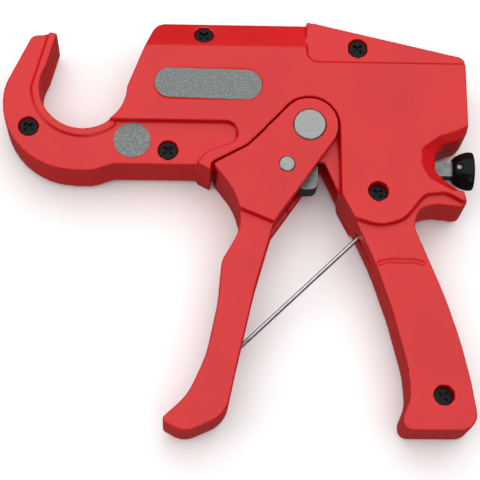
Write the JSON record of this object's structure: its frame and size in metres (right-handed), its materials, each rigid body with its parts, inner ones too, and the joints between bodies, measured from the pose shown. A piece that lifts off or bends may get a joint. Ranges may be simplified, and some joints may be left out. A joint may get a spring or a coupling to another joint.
{
  "type": "ratchet plastic pipe cutter",
  "caption": "One-hand ratchet cutter for plastic pipe: open hook jaw, sliding blade, squeeze lever with a return spring, straight handle and a pull knob that frees the blade.",
  "frame": {"origin": "the axis of the big pivot pin, where its rear end lies in the plane of the rear main face", "axes": "+Z out of the front main face, +Y towards the back of the case above the blade, -X towards the jaw, so the tool lies on its back with handle and lever towards -Y"},
  "size_m": [0.1892, 0.1681, 0.0265],
  "materials": {
    "red_casting": "satin",
    "black_screws": "satin",
    "ground_steel": "satin",
    "hardened_steel": "satin",
    "bronze": "satin",
    "blade_steel": "polished",
    "guide_plastic": "matte",
    "spring_steel": "satin",
    "knob_plastic": "gloss",
    "grey_plate": "satin"
  },
  "bodies": {
    "housing": {"front_cover": "red_casting", "rear_cover": "red_casting", "case_screws": "black_screws", "dowel_pins": "ground_steel", "pivot_pin": "ground_steel", "thrust_washer": "bronze", "hub_spacer": "bronze", "blade_guide": "guide_plastic", "rack_rail": "guide_plastic", "return_spring": "spring_steel", "spring_anchor": "ground_steel", "holding_pawl_pin": "ground_steel", "holding_pawl_spring": "spring_steel", "rod_bush": "guide_plastic", "lever_spring_coil": "spring_steel", "spring_post": "ground_steel", "name_plate": "grey_plate", "jaw_disc": "grey_plate"},
    "lever": {"trigger_lever": "red_casting", "pawl_pin": "ground_steel", "pawl_spring": "spring_steel"},
    "driving_pawl": {"drive_pawl": "hardened_steel"},
    "blade": {"cutting_blade": "blade_steel"},
    "ratchet": {"ratchet_wheel": "hardened_steel", "drive_pinion": "hardened_steel"},
    "release": {"release_rod": "hardened_steel", "release_knob": "knob_plastic", "knob_pin": "ground_steel"},
    "holding_arm": {"holding_pawl": "hardened_steel"},
    "spring_leg": {"lever_spring_leg": "spring_steel"}
  },
  "joints": [
    {"name": "lever_swing", "type": "hinge", "parent": "housing", "child": "lever", "pos_m": [0, 0, 0.013], "axis": [0, 0, 1], "range_deg": [0, 25], "stiffness_Nm_per_rad": 0.5, "springref_deg": -22.92},
    {"name": "drive_pawl_swing", "type": "hinge", "parent": "lever", "child": "driving_pawl", "pos_m": [-0.0092, -0.0168, 0.013], "axis": [0, 0, 1], "range_deg": [-15, 0], "stiffness_Nm_per_rad": 0.02, "springref_deg": 17.19, "deforming": ["pawl_spring"]},
    {"name": "blade_slide", "type": "slide", "parent": "housing", "child": "blade", "axis": [-1, 0, 0], "range_m": [0, 0.039], "stiffness_N_per_m": 60, "springref_m": -0.02, "deforming": ["return_spring"]},
    {"name": "ratchet_spin", "type": "hinge", "parent": "housing", "child": "ratchet", "pos_m": [0, 0, 0.013], "axis": [0, 0, 1], "range_deg": [0, 223.46]},
    {"name": "release_pull", "type": "slide", "parent": "housing", "child": "release", "axis": [1, 0, 0], "range_m": [0, 0.003], "stiffness_N_per_m": 800, "springref_m": -0.003},
    {"name": "holding_pawl_swing", "type": "hinge", "parent": "housing", "child": "holding_arm", "pos_m": [0.019, -0.021, 0.01], "axis": [0, 0, -1], "range_deg": [0, 25.5], "deforming": ["holding_pawl_spring"]},
    {"name": "spring_leg_swing", "type": "hinge", "parent": "housing", "child": "spring_leg", "pos_m": [0.0308, -0.0389, 0.013], "axis": [0, 0, 1], "range_deg": [0, 35]}
  ],
  "couplings": [
    {"joint": "ratchet_spin", "follows": "blade_slide", "rad_per_m": 100},
    {"joint": "holding_pawl_swing", "follows": "release_pull", "rad_per_m": 148.35},
    {"joint": "spring_leg_swing", "follows": "lever_swing", "ratio": 1.4}
  ]
}
